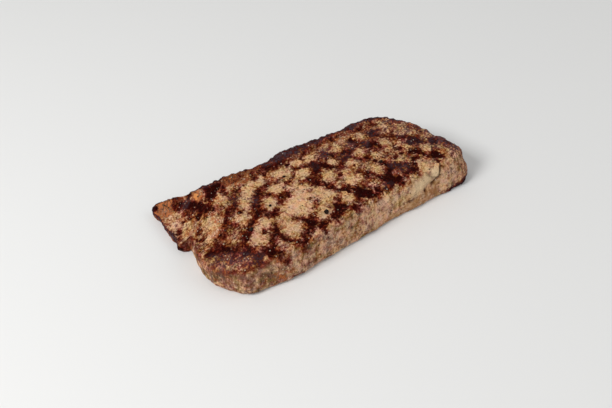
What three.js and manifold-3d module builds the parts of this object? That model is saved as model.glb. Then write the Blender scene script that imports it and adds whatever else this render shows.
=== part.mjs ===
// A grilled strip steak lying on its flat underside.
// Millimetres, +Z up, origin under the middle of the steak.

import * as THREE from 'three';
import { mergeVertices } from 'three/addons/utils/BufferGeometryUtils.js';
import Module from 'manifold-3d';

// Driving dimensions
const thickness = 25;            // height of the meat away from the thin end
const flapDrop = 19.5;           // how much lower the thin left flap is
const noseDrop = 8;              // how much lower the rounded front left corner is
const edgeRound = 5;             // width of the rounding between top and side
const noseRound = 5;             // extra rounding at the front left corner
const endRound = 3;              // extra rounding at the right end
const frontLean = 4.6;           // how far the top edge stands inside the foot along the front
const endLean = 8;               // the same at the right end
const backLean = -1.5;           // the back edge leans outward
const squareness = 3.4;          // exponent of the side profile, 2 is round and more is squarer

// Where these act, each as the place where it starts and the place where it is whole
const slopeAlong = [-57, -94];   // the left end slopes down, x
const dropAcross = [-21, 16];    // from the drop of the corner to that of the flap, y
const noseAlong = [-52, -85];
const noseAcross = [-6, -31];
const endAlong = [73, 89];
const endAcross = [4, -12];
const frontAlong = [-27, 53];
const frontAcross = [-21, -34];
const frontLeast = 0.45;         // share of the front lean at the left end
const backAcross = [19, 28];

// The straight line along the middle that the surface's rays start from, and the shares of the edge's
// length between which their starts move along it
const middleEnds = [[-70, 8], [62, -15]];
const middleShares = [0.03, 1.03];

// Relief
const markWidth = 5.4;           // grill mark
const markDepth = 0.9;
const markFlat = 0.22;           // half of its level bottom, as a share of its width
const markReach = 0.66;          // where it meets the meat
const rimRise = 0.5;             // the fat rim stands proud along the back edge
const rimInside = 5;             // where it starts to fall, from the edge
const rimOutside = 9;            // where it meets the meat
const rimAcross = [10, 22];
const cragHeight = 0.55;         // crumbly crust on the rim
const cragLength = 7.5;
const crackWidth = 2.4;
const crackDepth = 1.3;
const crackAcross = [-26, -31];
const swellTop = 0.75;           // unevenness of the top
const topWaves = [31, 11];       // long and short wavelength
const topShare = 0.45;           // strength of the short one
const swellSide = 0.9;           // unevenness of the sides
const sideWaves = [24, 9];
const sideShare = 0.4;
const sideStretch = 1.5;
const calmAlong = [-62, -87];    // the flap is calmer
const calmShare = 0.6;
const swellLengths = [0.7, 0.17]; // the first of the crossed waves' lengths, and the step to the next
const lumpFlat = 0.2;            // share of a lump's radius that stands out in full

// Mesh density
const stationsAlong = 90;        // from the left end to the right end
const ringsTop = 19;
const ringsSide = 9;

// Plan outline, from the notch under the left flap, round the back, to the right end
const backEdge = [
  [-84.7, 6], [-89.3, 6.6], [-91.3, 8.4], [-91.3, 16], [-92, 27.3], [-92.1, 38.6], [-93.4, 43],
  [-89.5, 46.8], [-81, 42.2], [-75.3, 35.8], [-64.4, 29.8], [-50.9, 30.2], [-34.9, 29.6], [-19, 28.3],
  [-5, 31.8], [9, 31], [25.1, 29.9], [41, 29.5], [55, 29.5], [66.6, 25], [74.4, 17.2], [81.4, 8.6],
  [86.4, -2.2], [92.4, -10.8], [94.7, -20.1],
];

// Plan outline, from the same notch, round the front, to the right end
const frontEdge = [
  [-84.7, 6], [-85.6, -4], [-87.5, -13.9], [-86.1, -24.1], [-80.1, -35.1], [-71.1, -43.8], [-56.8, -45.8],
  [-42.9, -46.5], [-26.9, -44.9], [-6.9, -42], [11.2, -40.2], [29, -37.1], [47, -36.4], [65, -34.9],
  [80.9, -34.9], [89.5, -32.6], [94.9, -27.2], [94.7, -20.1],
];

// Grill marks that rise to the back right, each as the points it runs through
const risingMarks = [
  [[-79, 38], [-76.5, 28], [-68, 14], [-62, 19], [-54, 24]],
  [[-76, -15], [-66, -8], [-53, 6], [-47, 14]],
  [[-66, -28], [-53, -16], [-43, -3], [-36, 5], [-26, 12]],
  [[-44, -8], [-37, -16], [-28, -6.5], [-19, -4.5]],
  [[-51, -38], [-43, -26]],
  [[-33, -44], [-22, -33], [-19, -29]],
  [[-2, -27], [0, -31], [-6, -35]],
  [[-5, -5], [3, 6]],
  [[17, -2], [25, 5], [37, 10]],
  [[43, -33], [38, -23], [43, -16]],
];

// Grill marks that fall to the front right
const fallingMarks = [
  [[-82, -18], [-73, -23], [-62, -33], [-46, -45]],
  [[-40, -22], [-42, -31], [-36, -43]],
  [[-29, -24], [-22, -32], [-18, -37]],
  [[-7, 12.5], [2, 10], [12, 2], [20, -2]],
  [[-2, -6], [6, -18.5], [13, -20.5], [23, -33]],
  [[0, -35], [17, -35]],
  [[13, 17], [22, 8], [39, -6]],
  [[22, -5], [31, -17], [36, -28]],
  [[37, 16], [47, 5], [58, -7]],
  [[43, -14], [49, -22], [56, -28]],
  [[47, 15], [58, 5], [69, -2], [74, -10]],
  [[63, -12], [68, -18], [78, -26]],
];

// The split along the right part of the front side, as x and height
const crack = [[71.5, 25], [70, 21.5], [68.7, 17.5], [65.4, 15.5], [58.4, 10.9], [52, 10], [44.3, 9.2]];

// Burnt lumps of crust at the edge, as x, y, height of the middle, radius and how far they stand out
const crustLumps = [
  [-91, 44, 6, 4, 0.9], [-90.5, 8.5, 4, 4, 1], [45, 29, 22, 4, 1], [59, 27, 22, 4, 0.9],
  [73, 20, 22, 4, 0.8], [84, 2, 21, 5, 1.1], [-9, 31, 22, 4, 0.9], [89, -31, 4, 6, 0.8],
];

// Cracked peppercorns pressed into the top, as x, y and radius
const peppercorns = [
  [-10, -30.5, 2.3], [-54.4, -18.9, 1.5], [41, -11, 1.3], [-17, 8.6, 1.2], [-36, -8, 1.1],
];
const peppercornSunk = 0.35;     // share of the radius under the surface
const peppercornSquash = [1, 0.85, 0.8];
const peppercornTurn = 0.9;      // radians from one to the next

const meat = new THREE.MeshStandardMaterial({ color: 0x8a5d3e, roughness: 0.62, metalness: 0 });

// Runs smoothly from 0 at a to 1 at b.
function rise(a, b, value) {
  const t = THREE.MathUtils.clamp((value - a) / (b - a), 0, 1);
  return t * t * (3 - 2 * t);
}

// Evenly spaced points on a smooth curve through the named ones.
function spaced(points, count) {
  const corners = points.map(([x, y]) => new THREE.Vector3(x, y, 0));
  const curve = new THREE.CatmullRomCurve3(corners, false, 'centripetal');
  curve.arcLengthDivisions = 20 * count;
  return curve.getSpacedPoints(count);
}

// Crossed waves in turning directions, between -1 and 1.
function swell(x, y, z, wavelength) {
  const waves = 5;
  const turn = 2.4;
  const phase = 1.7;
  let sum = 0;
  for (let k = 0; k < waves; k++) {
    const along = x * Math.cos(k * turn) + y * Math.sin(k * turn) + z * Math.sin(k * turn + 1);
    sum += Math.sin((2 * Math.PI * along) / (wavelength * (swellLengths[0] + swellLengths[1] * k)) + phase * k);
  }
  return sum / waves;
}

// Shortest distance in a plane from a place to a run of straight pieces.
function lineDistance(a, b, points) {
  let nearest = Infinity;
  for (let k = 0; k + 1 < points.length; k++) {
    const [a0, b0] = points[k];
    const [a1, b1] = points[k + 1];
    const length = Math.hypot(a1 - a0, b1 - b0);
    const along = ((a - a0) * (a1 - a0) + (b - b0) * (b1 - b0)) / length ** 2;
    const share = THREE.MathUtils.clamp(along, 0, 1);
    nearest = Math.min(nearest, Math.hypot(a - a0 - share * (a1 - a0), b - b0 - share * (b1 - b0)));
  }
  return nearest;
}

// Depth of the grill marks at x, y. Where two cross, the deeper one counts.
function grooveDepth(x, y) {
  const nearest = Math.min(...[...risingMarks, ...fallingMarks].map((mark) => lineDistance(x, y, mark)));
  return markDepth * (1 - rise(markFlat * markWidth, markReach * markWidth, nearest));
}

// How far the burnt lumps stand out at a place on the surface.
function lumpAt(x, y, z) {
  let most = 0;
  for (const [lumpX, lumpY, lumpZ, radius, height] of crustLumps) {
    const away = Math.hypot(x - lumpX, y - lumpY, z - lumpZ);
    most = Math.max(most, height * (1 - rise(lumpFlat * radius, radius, away)));
  }
  return most;
}

// Height of the top face before its relief: level meat that slopes down to the left end.
function topHeight(x, y) {
  const drop = noseDrop + (flapDrop - noseDrop) * rise(...dropAcross, y);
  return thickness - drop * rise(...slopeAlong, x);
}

// Top face with its relief: slow waves, the grill marks, and the fat rim with its crumbly crust.
function topRelief(x, y, fromEdge) {
  const calm = 1 - calmShare * rise(...calmAlong, x);
  const waves = swellTop * calm * (swell(x, y, 0, topWaves[0]) + topShare * swell(y, x, 0, topWaves[1]));
  const onRim = (1 - rise(rimInside, rimOutside, fromEdge)) * rise(...rimAcross, y);
  const crust = onRim * (rimRise + cragHeight * swell(x, y, 0, cragLength));
  return topHeight(x, y) + waves + crust - grooveDepth(x, y) + lumpAt(x, y, topHeight(x, y));
}

// How far the top edge stands inside the foot.
function leanAt(x, y) {
  const end = rise(...endAlong, x) * rise(...endAcross, y);
  const growing = frontLeast + (1 - frontLeast) * rise(...frontAlong, x);
  const front = frontLean * growing * rise(...frontAcross, y);
  return Math.max(front, endLean * end) + backLean * rise(...backAcross, y) * (1 - end);
}

function roundAt(x, y) {
  const nose = rise(...noseAlong, x) * rise(...noseAcross, y);
  return edgeRound + noseRound * nose + endRound * rise(...endAlong, x);
}

// How far a side stands out from its plain profile at a height: slow waves, lumps, and the split.
function sideRelief(foot, across, z) {
  const long = swell(foot.x, foot.y, sideStretch * z, sideWaves[0]);
  const short = swell(foot.y, z, foot.x, sideWaves[1]);
  const nearSplit = 1 - rise(0, crackWidth, lineDistance(foot.x, z, crack));
  const split = crackDepth * nearSplit * rise(...crackAcross, foot.y);
  return swellSide * across * (long + sideShare * short) + lumpAt(foot.x, foot.y, z) - split;
}

// The steak's surface. Rays run from a line along its middle to the outline. The top face follows the
// rays outward, the side drops to the foot as a superellipse, and the flat underside closes it.
function steakGeometry() {
  const back = spaced(backEdge, stationsAlong);
  const front = spaced(frontEdge, stationsAlong);
  const [middleStart, middleEnd] = middleEnds.map(([x, y]) => new THREE.Vector3(x, y, 0));
  const middle = back.map((point, i) => (
    middleStart.clone().lerp(middleEnd, rise(...middleShares, i / stationsAlong))
  ));
  const loop = [...back, ...front.slice(1, -1).reverse()];
  const spine = [...middle, ...middle.slice(1, -1).reverse()];
  const rows = [];
  const edges = loop.map((foot, i) => {
    const out = foot.clone().sub(spine[i]).normalize();
    const width = roundAt(foot.x, foot.y);
    const inner = foot.clone().addScaledVector(out, -width);
    return { foot, out, width, inner, lean: leanAt(foot.x, foot.y) };
  });

  for (let r = 0; r <= ringsTop; r++) {
    const share = r / ringsTop;
    rows.push(edges.map(({ inner, out, width, lean }, i) => {
      const fromEdge = width + (1 - share) * inner.distanceTo(spine[i]);
      const point = spine[i].clone().lerp(inner, share).addScaledVector(out, -0.5 * lean * share ** 3);
      point.z = topRelief(point.x, point.y, fromEdge);
      return point;
    }));
  }

  const rimRow = rows[ringsTop];
  for (let r = 1; r <= ringsSide; r++) {
    const angle = Math.PI * (0.5 - r / (ringsSide + 1));
    const up = Math.sign(Math.sin(angle)) * Math.abs(Math.sin(angle)) ** (2 / squareness);
    const across = Math.abs(Math.cos(angle)) ** (2 / squareness);
    rows.push(edges.map(({ inner, out, width, lean, foot }, i) => {
      const height = rimRow[i].z;
      const z = 0.5 * height * (1 + up);
      const push = width * across - 0.5 * lean * up + sideRelief(foot, across, z);
      const point = inner.clone().addScaledVector(out, push);
      point.z = z;
      return point;
    }));
  }

  rows.push(edges.map(({ inner, out, lean }) => inner.clone().addScaledVector(out, 0.5 * lean)));
  rows.push(spine.map((point) => point.clone()));

  const around = loop.length;
  const corners = rows.flat();
  const positions = corners.flatMap((point) => [point.x, point.y, point.z]);
  const index = [];
  for (let r = 0; r + 1 < rows.length; r++) {
    for (let i = 0; i < around; i++) {
      const next = (i + 1) % around;
      const a = r * around + i;
      const b = r * around + next;
      const c = (r + 1) * around + i;
      const d = (r + 1) * around + next;
      const leading = corners[a].distanceTo(corners[d]) < corners[b].distanceTo(corners[c]);
      index.push(...(leading ? [a, b, d, a, d, c] : [a, b, c, b, d, c]));
    }
  }
  const geometry = new THREE.BufferGeometry();
  geometry.setAttribute('position', new THREE.Float32BufferAttribute(positions, 3));
  geometry.setIndex(index);
  return mergeVertices(geometry, 1e-3);
}

// Drops the triangles whose corners have been merged into a line.
function withoutSlivers(geometry) {
  const index = geometry.index.array;
  const kept = [];
  for (let t = 0; t < index.length; t += 3) {
    const [a, b, c] = index.slice(t, t + 3);
    if (a !== b && b !== c && c !== a) {
      kept.push(a, b, c);
    }
  }
  geometry.setIndex(kept);
  return geometry;
}

const wasm = await Module();
wasm.setup();

function toSolid(geometry) {
  return new wasm.Manifold(new wasm.Mesh({
    numProp: 3,
    vertProperties: new Float32Array(geometry.attributes.position.array),
    triVerts: new Uint32Array(geometry.index.array),
  }));
}

// A cracked peppercorn: a squat faceted ball, turned a little so that no two look alike.
function peppercornGeometry([x, y, radius], number) {
  const grain = new THREE.IcosahedronGeometry(radius);
  grain.deleteAttribute('normal');
  grain.deleteAttribute('uv');
  grain.rotateX(peppercornTurn * (number + 1));
  grain.rotateZ(peppercornTurn * number);
  grain.scale(...peppercornSquash);
  grain.translate(x, y, topRelief(x, y, rimOutside) + radius * (peppercornSquash[2] - 2 * peppercornSunk));
  return mergeVertices(grain);
}

function steakMesh() {
  let solid = toSolid(withoutSlivers(steakGeometry()));
  peppercorns.forEach((grain, number) => {
    solid = solid.add(toSolid(peppercornGeometry(grain, number)));
  });
  const made = solid.getMesh();
  const geometry = new THREE.BufferGeometry();
  geometry.setAttribute('position', new THREE.Float32BufferAttribute(made.vertProperties, 3));
  geometry.setIndex(new THREE.Uint32BufferAttribute(made.triVerts, 1));
  geometry.computeBoundingBox();
  const middle = geometry.boundingBox.getCenter(new THREE.Vector3());
  geometry.translate(-middle.x, -middle.y, -geometry.boundingBox.min.z);
  geometry.computeVertexNormals();
  const mesh = new THREE.Mesh(geometry, meat);
  mesh.name = 'steak';
  return mesh;
}

const steak = new THREE.Group();
steak.add(steakMesh());

export default steak;
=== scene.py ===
# A grilled strip steak: crossed grill marks on top, a charred fat edge behind, fibrous cut sides.
from math import cos, radians, sin
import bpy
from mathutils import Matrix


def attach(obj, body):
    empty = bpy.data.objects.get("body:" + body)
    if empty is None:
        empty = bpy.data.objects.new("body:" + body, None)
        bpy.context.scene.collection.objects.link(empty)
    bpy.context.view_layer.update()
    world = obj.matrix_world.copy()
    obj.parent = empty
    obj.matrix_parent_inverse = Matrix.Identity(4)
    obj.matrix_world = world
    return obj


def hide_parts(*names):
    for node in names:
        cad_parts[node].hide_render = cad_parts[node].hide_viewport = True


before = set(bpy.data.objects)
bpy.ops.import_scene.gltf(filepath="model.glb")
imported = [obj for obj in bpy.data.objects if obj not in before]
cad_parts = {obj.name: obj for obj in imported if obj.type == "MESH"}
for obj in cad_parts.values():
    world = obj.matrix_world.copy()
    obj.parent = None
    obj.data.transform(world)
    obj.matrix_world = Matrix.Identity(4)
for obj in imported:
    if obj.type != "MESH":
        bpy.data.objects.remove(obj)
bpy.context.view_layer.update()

from types import SimpleNamespace

import bpy
import numpy as np
from mathutils import Matrix, Vector

mm = 0.001


def hexColour(text):
    # a colour as it looks on screen, turned into the linear values that shaders use
    parts = [int(text[i:i + 2], 16) / 255 for i in (0, 2, 4)]
    return [c / 12.92 if c <= 0.04045 else ((c + 0.055) / 1.055) ** 2.4 for c in parts] + [1.0]


def rise(a, b, value):
    # runs smoothly from 0 at a to 1 at b
    t = np.clip((value - a) / (b - a), 0.0, 1.0)
    return t * t * (3.0 - 2.0 * t)


def noise(points, cell, seed):
    # random numbers on a lattice with that cell size, blended smoothly between, 0 to 1
    size = 32
    lattice = np.random.default_rng(seed).random((size, size, size))
    place = points / cell
    low = np.floor(place).astype(int)
    f = place - low
    f = f * f * (3.0 - 2.0 * f)
    total = np.zeros(points.shape[:-1])
    for dx in (0, 1):
        for dy in (0, 1):
            for dz in (0, 1):
                share = (f[..., 0] if dx else 1 - f[..., 0]) * (f[..., 1] if dy else 1 - f[..., 1])
                share = share * (f[..., 2] if dz else 1 - f[..., 2])
                corner = (low[..., 0] + dx) % size, (low[..., 1] + dy) % size, (low[..., 2] + dz) % size
                total += share * lattice[corner]
    return total


def cloud(points, cell, seed, octaves=3):
    # octaves of noise, each half as large and half as strong, kept about 0 to 1
    total = sum(noise(points, cell / 2 ** k, seed + k) / 2 ** k for k in range(octaves))
    return total / sum(1 / 2 ** k for k in range(octaves))


# the steak's form in millimetres, with the same values as its solid; pairs run from none to full
steakForm = {
    "thickness": 25.0,
    "flapDrop": 19.5,  # how much lower the thin left flap is
    "noseDrop": 8.0,  # how much lower the rounded front left corner is
    "dropAlong": (-57, -94),  # where the left end slopes down, in x
    "dropAcross": (-21, 16),  # and where it turns from nose to flap, in y
    "swellTop": 0.75,  # slow waves of the top and the sides
    "swellSide": 0.9,
    "topWaves": (31, 11),  # their long and short wavelengths
    "sideWaves": (24, 9),
    "shortTop": 0.45,  # how strong the short ones are
    "shortSide": 0.4,
    "calmAlong": (-62, -87),  # the waves calm down on the flap
    "calmShare": 0.6,
    "rimRise": 0.5,  # raised fat rim along the back
    "rimInside": 5.0,
    "rimOutside": 9.0,
    "rimAcross": (10, 22),
    "edgeRound": 5.0,  # rounding all round, and more at the nose and the right end
    "noseRound": 5.0,
    "noseAlong": (-52, -85),
    "noseAcross": (-6, -31),
    "endRound": 3.0,
    "endRoundAlong": (73, 88),
    "frontLean": 4.6,  # how far the top edge stands inside the foot
    "frontLeast": 0.45,  # share of it at the left
    "frontAlong": (-27, 53),
    "frontAcross": (-21, -34),
    "endLean": 8.0,
    "endAlong": (73, 89),
    "endAcross": (4, -12),
    "backLean": -1.5,
    "backAcross": (19, 28),
    "squareness": 3.4,
    "middleStart": np.array([-70.0, 8.0]),  # the rays start on this line
    "middleEnd": np.array([62.0, -15.0]),
    "stations": 380,  # mesh density along the steak
    "ringsTop": 56,
    "ringsSide": 44,
    "ringsUnder": 12,
}

backEdge = [
    (-84.7, 6), (-89.3, 6.6), (-91.3, 8.4), (-91.3, 16), (-92, 27.3), (-92.1, 38.6), (-93.4, 43),
    (-89.5, 46.8), (-81, 42.2), (-75.3, 35.8), (-64.4, 29.8), (-50.9, 30.2), (-34.9, 29.6), (-19, 28.3),
    (-5, 31.8), (9, 31), (25.1, 29.9), (41, 29.5), (55, 29.5), (66.6, 25), (74.4, 17.2), (81.4, 8.6),
    (86.4, -2.2), (92.4, -10.8), (94.7, -20.1),
]
frontEdge = [
    (-84.7, 6), (-85.6, -4), (-87.5, -13.9), (-86.1, -24.1), (-80.1, -35.1), (-71.1, -43.8),
    (-56.8, -45.8), (-42.9, -46.5), (-26.9, -44.9), (-6.9, -42), (11.2, -40.2), (29, -37.1), (47, -36.4),
    (65, -34.9), (80.9, -34.9), (89.5, -32.6), (94.9, -27.2), (94.7, -20.1),
]


def spaced(points, count):
    # a smooth curve through the points (centripetal spline), cut into even lengths
    p = np.array(points, float)
    q = np.vstack([2 * p[0] - p[1], p, 2 * p[-1] - p[-2]])
    u = np.linspace(0, 1, 40, endpoint=False)[:, None]
    runs = []
    for k in range(len(p) - 1):
        x0, x1, x2, x3 = q[k:k + 4]
        d0, d1, d2 = (np.linalg.norm(b - a) ** 0.5 for a, b in ((x0, x1), (x1, x2), (x2, x3)))
        t1 = ((x1 - x0) / d0 - (x2 - x0) / (d0 + d1) + (x2 - x1) / d1) * d1
        t2 = ((x2 - x1) / d1 - (x3 - x1) / (d1 + d2) + (x3 - x2) / d2) * d1
        curve = x1 + t1 * u + (-3 * x1 + 3 * x2 - 2 * t1 - t2) * u ** 2
        runs.append(curve + (2 * x1 - 2 * x2 + t1 + t2) * u ** 3)
    fine = np.vstack(runs + [p[-1:]])
    run = np.r_[0, np.cumsum(np.hypot(*np.diff(fine, axis=0).T))]
    at = np.linspace(0, run[-1], count + 1)
    return np.stack([np.interp(at, run, fine[:, 0]), np.interp(at, run, fine[:, 1])], -1)


def swell(x, y, z, wavelength):
    # five crossed waves in turning directions, each a little longer than the last, between -1 and 1
    total = 0.0
    for k in range(5):
        along = x * np.cos(2.4 * k) + y * np.sin(2.4 * k) + z * np.sin(2.4 * k + 1)
        total = total + np.sin(2 * np.pi * along / (wavelength * (0.7 + 0.17 * k)) + 1.7 * k)
    return total / 5


def topHeight(x, y, fromEdge):
    # level meat that slopes down to the left end, with slow waves and a raised fat rim along the back
    f = steakForm
    deepest = f["noseDrop"] + (f["flapDrop"] - f["noseDrop"]) * rise(*f["dropAcross"], y)
    drop = deepest * rise(*f["dropAlong"], x)
    calm = 1 - f["calmShare"] * rise(*f["calmAlong"], x)
    longWave, shortWave = f["topWaves"]
    waves = swell(x, y, 0, longWave) + f["shortTop"] * swell(y, x, 0, shortWave)
    rim = f["rimRise"] * (1 - rise(f["rimInside"], f["rimOutside"], fromEdge)) * rise(*f["rimAcross"], y)
    return f["thickness"] - drop + f["swellTop"] * calm * waves + rim


def leanAt(x, y):
    # how far the top edge stands inside the foot: the larger of the front's and the right end's lean,
    # plus the back wall's, which ends where the right end's begins
    f = steakForm
    end = rise(*f["endAlong"], x) * rise(*f["endAcross"], y)
    least = f["frontLeast"]
    front = f["frontLean"] * (least + (1 - least) * rise(*f["frontAlong"], x)) * rise(*f["frontAcross"], y)
    return np.maximum(front, f["endLean"] * end) + f["backLean"] * rise(*f["backAcross"], y) * (1 - end)


def roundAt(x, y):
    # the rounded edge's width: one value all round, with more at the nose and at the right end
    f = steakForm
    nose = f["noseRound"] * rise(*f["noseAlong"], x) * rise(*f["noseAcross"], y)
    return f["edgeRound"] + nose + f["endRound"] * rise(*f["endRoundAlong"], x)


def steakSurface():
    # Rays run from a line along the middle to the outline. Rings follow them outward over the top,
    # down the side as a superellipse, and back to the middle underneath.
    # Gives the points, each one's height as a share of the side's, and its distance from the edge.
    f = steakForm
    back = spaced(backEdge, f["stations"])
    front = spaced(frontEdge, f["stations"])
    part = np.linspace(0, 1, len(back))[:, None]
    along = 0.02 * part + 0.98 * rise(0.03, 1.03, part)  # closer together at the ends
    middle = f["middleStart"] + along * (f["middleEnd"] - f["middleStart"])
    foot = np.vstack([back, front[-2:0:-1]])
    spine = np.vstack([middle, middle[-2:0:-1]])
    out = foot - spine
    out /= np.linalg.norm(out, axis=1)[:, None]
    width = roundAt(*foot.T)
    lean = leanAt(*foot.T)

    inner = foot - out * width[:, None]
    share = np.linspace(0, 1, f["ringsTop"] + 1)[:, None]
    reach = np.linalg.norm(inner - spine, axis=1)
    xy = spine + (inner - spine) * share[..., None] - out * (0.5 * lean * share ** 3)[..., None]
    fromEdge = width + (1 - share) * reach
    top = np.dstack([xy, topHeight(xy[..., 0], xy[..., 1], fromEdge)])

    angle = np.pi * (0.5 - np.arange(1, f["ringsSide"] + 1)[:, None] / (f["ringsSide"] + 1))
    power = 2 / f["squareness"]
    up = np.sign(np.sin(angle)) * np.abs(np.sin(angle)) ** power
    across = np.abs(np.cos(angle)) ** power
    z = 0.5 * top[-1, :, 2] * (1 + up)
    footX, footY = foot.T
    longWave, shortWave = f["sideWaves"]
    waves = swell(footX, footY, 1.5 * z, longWave) + f["shortSide"] * swell(footY, z, footX, shortWave)
    push = width * across - 0.5 * lean * up + f["swellSide"] * across * waves
    side = np.dstack([inner + out * push[..., None], z])

    inward = np.linspace(1, 0, f["ringsUnder"] + 1)[:, None, None]
    flat = spine + (inner + out * 0.5 * lean[:, None] - spine) * inward
    under = np.dstack([flat, np.zeros(flat.shape[:2])])

    points = np.concatenate([top, side, under])
    sideHeight = np.concatenate([np.ones(top.shape[:2]), 0.5 * (1 + up) + 0 * z, np.zeros(under.shape[:2])])
    edge = np.concatenate([fromEdge, width * (1 - across) + 0 * z, 0 * under[..., 0] - 1])
    return points, sideHeight, edge


def gridNormals(points):
    # the cross product of the steps to the neighbours along and across each ring
    along = np.roll(points, -1, 1) - np.roll(points, 1, 1)
    across = np.gradient(points, axis=0)
    n = np.cross(along, across)
    n /= np.maximum(np.linalg.norm(n, axis=-1), 1e-9)[..., None]
    n[0] = (0, 0, 1)
    n[-1] = (0, 0, -1)
    return n


# grill marks, each as the points it runs through, its width and how black it is
grillMarks = [
    # rising to the right, from the left end
    ([(-79, 38), (-78.5, 33), (-76.5, 28), (-73, 22), (-70, 17), (-68, 14)], 7.5, 0.9),
    ([(-68, 14), (-65, 15), (-62, 19), (-59, 22), (-54, 24)], 5.0, 1.0),
    ([(-76, -15), (-72, -13), (-66, -8), (-60, 0), (-53, 6), (-50, 10), (-47, 14)], 5.6, 0.85),
    ([(-47, 14), (-43, 16), (-38, 19)], 3.0, 0.5),
    ([(-66, -28), (-60, -22), (-53, -16), (-45, -8), (-43, -3), (-36, 5), (-31, 8), (-26, 12)], 5.8, 0.9),
    ([(-44, -8), (-41, -12), (-38, -16), (-35, -15), (-31, -10), (-28, -6.5), (-25, -4.5), (-19, -4.5)],
     4.3, 0.88),
    ([(-44, 0), (-36, 0), (-28, -1), (-22, -3)], 4.2, 0.8),
    ([(-51, -38), (-46, -32), (-43, -26)], 4.4, 0.82),
    ([(-33, -44), (-26, -38), (-22, -33), (-19, -29)], 5.0, 0.95),
    ([(-2, -27), (0, -31), (-4, -35), (-7, -35.5)], 5.0, 0.95),
    ([(-5, -5), (-3, -1), (3, 6)], 7.0, 0.9),
    ([(17, -2), (20, 1), (25, 5), (30, 8), (37, 10)], 4.8, 0.84),
    ([(23, -26), (22, -21), (19, -16)], 3.2, 0.6),
    ([(42, -31), (39, -27), (38, -23), (40, -19), (43, -16)], 5.6, 0.95),
    ([(49, -29), (54, -25), (59, -18), (62, -12)], 3.4, 0.6),
    # falling to the right, from the left end
    ([(-82, -18), (-77, -20), (-72, -23), (-68, -27), (-64, -32), (-60, -38)], 6.4, 0.95),
    ([(-80, -24), (-74, -31), (-68, -38), (-62, -42)], 9.0, 0.55),
    ([(-55, -37), (-52, -42), (-46, -45)], 5.5, 1.0),
    ([(-78, -16), (-70, -17), (-62, -11)], 9.0, 0.58),
    ([(-40, -22), (-41.5, -28), (-42, -33), (-39, -39), (-36, -43)], 3.6, 0.8),
    ([(-29, -24), (-25, -28), (-22, -32), (-18, -37)], 3.4, 0.9),
    ([(-7, 12.5), (-2, 11), (2, 10), (8, 6), (12, 2), (20, -2)], 4.6, 0.86),
    ([(-2, -6), (1, -11), (6, -18.5), (13, -20.5), (16.5, -25), (20, -30), (23, -33)], 4.2, 0.88),
    ([(0, -35), (8, -35), (15, -35)], 3.8, 0.66),
    ([(13, 17), (18, 10), (22, 8), (28, 1), (36, -3), (39, -6)], 3.6, 0.78),
    ([(22, -5), (26, -12), (31, -17), (36, -28)], 3.8, 0.84),
    ([(37, 16), (42, 9), (47, 5), (52, -3), (58, -7)], 3.8, 0.85),
    ([(43, -14), (46, -18), (49, -22), (53, -23), (55, -27)], 5.2, 0.9),
    ([(47, 15), (53, 12), (58, 5), (63, 4), (69, -2), (74, -10)], 4.4, 0.9),
    ([(63, -12), (68, -18), (74, -24), (78, -26)], 4.6, 0.92),
    # short stubs and thin lines between them
    ([(-26, 12), (-22, 9), (-19, 8), (-16, 1)], 2.2, 0.7),
    ([(-78, 24), (-74, 16), (-71, 10), (-66, 4), (-61, 1)], 4.0, 0.6),
    ([(-56, 2), (-52, -2)], 3.4, 0.5),
    ([(-63, -12), (-59, -15)], 3.6, 0.4),
    ([(-64, -39), (-58, -44), (-53, -44)], 4.0, 0.42),
    ([(-10, 14), (-10, 8), (-13, 5)], 4.4, 0.38),
    ([(-9, 0), (-6, -4)], 4.2, 0.55),
    ([(9, 15), (10, 10), (13, 10)], 3.4, 0.7),
    ([(30, 14), (37, 12), (40, 3)], 3.0, 0.5),
    ([(47, -27), (54, -31)], 2.8, 0.5),
    ([(60, 12), (62, 8)], 3.4, 0.6),
    ([(55, 2), (57, -2)], 3.4, 0.7),
    ([(53, 21), (58, 20)], 3.6, 0.42),
    ([(75, -27), (82, -26)], 2.6, 0.5),
]

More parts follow.
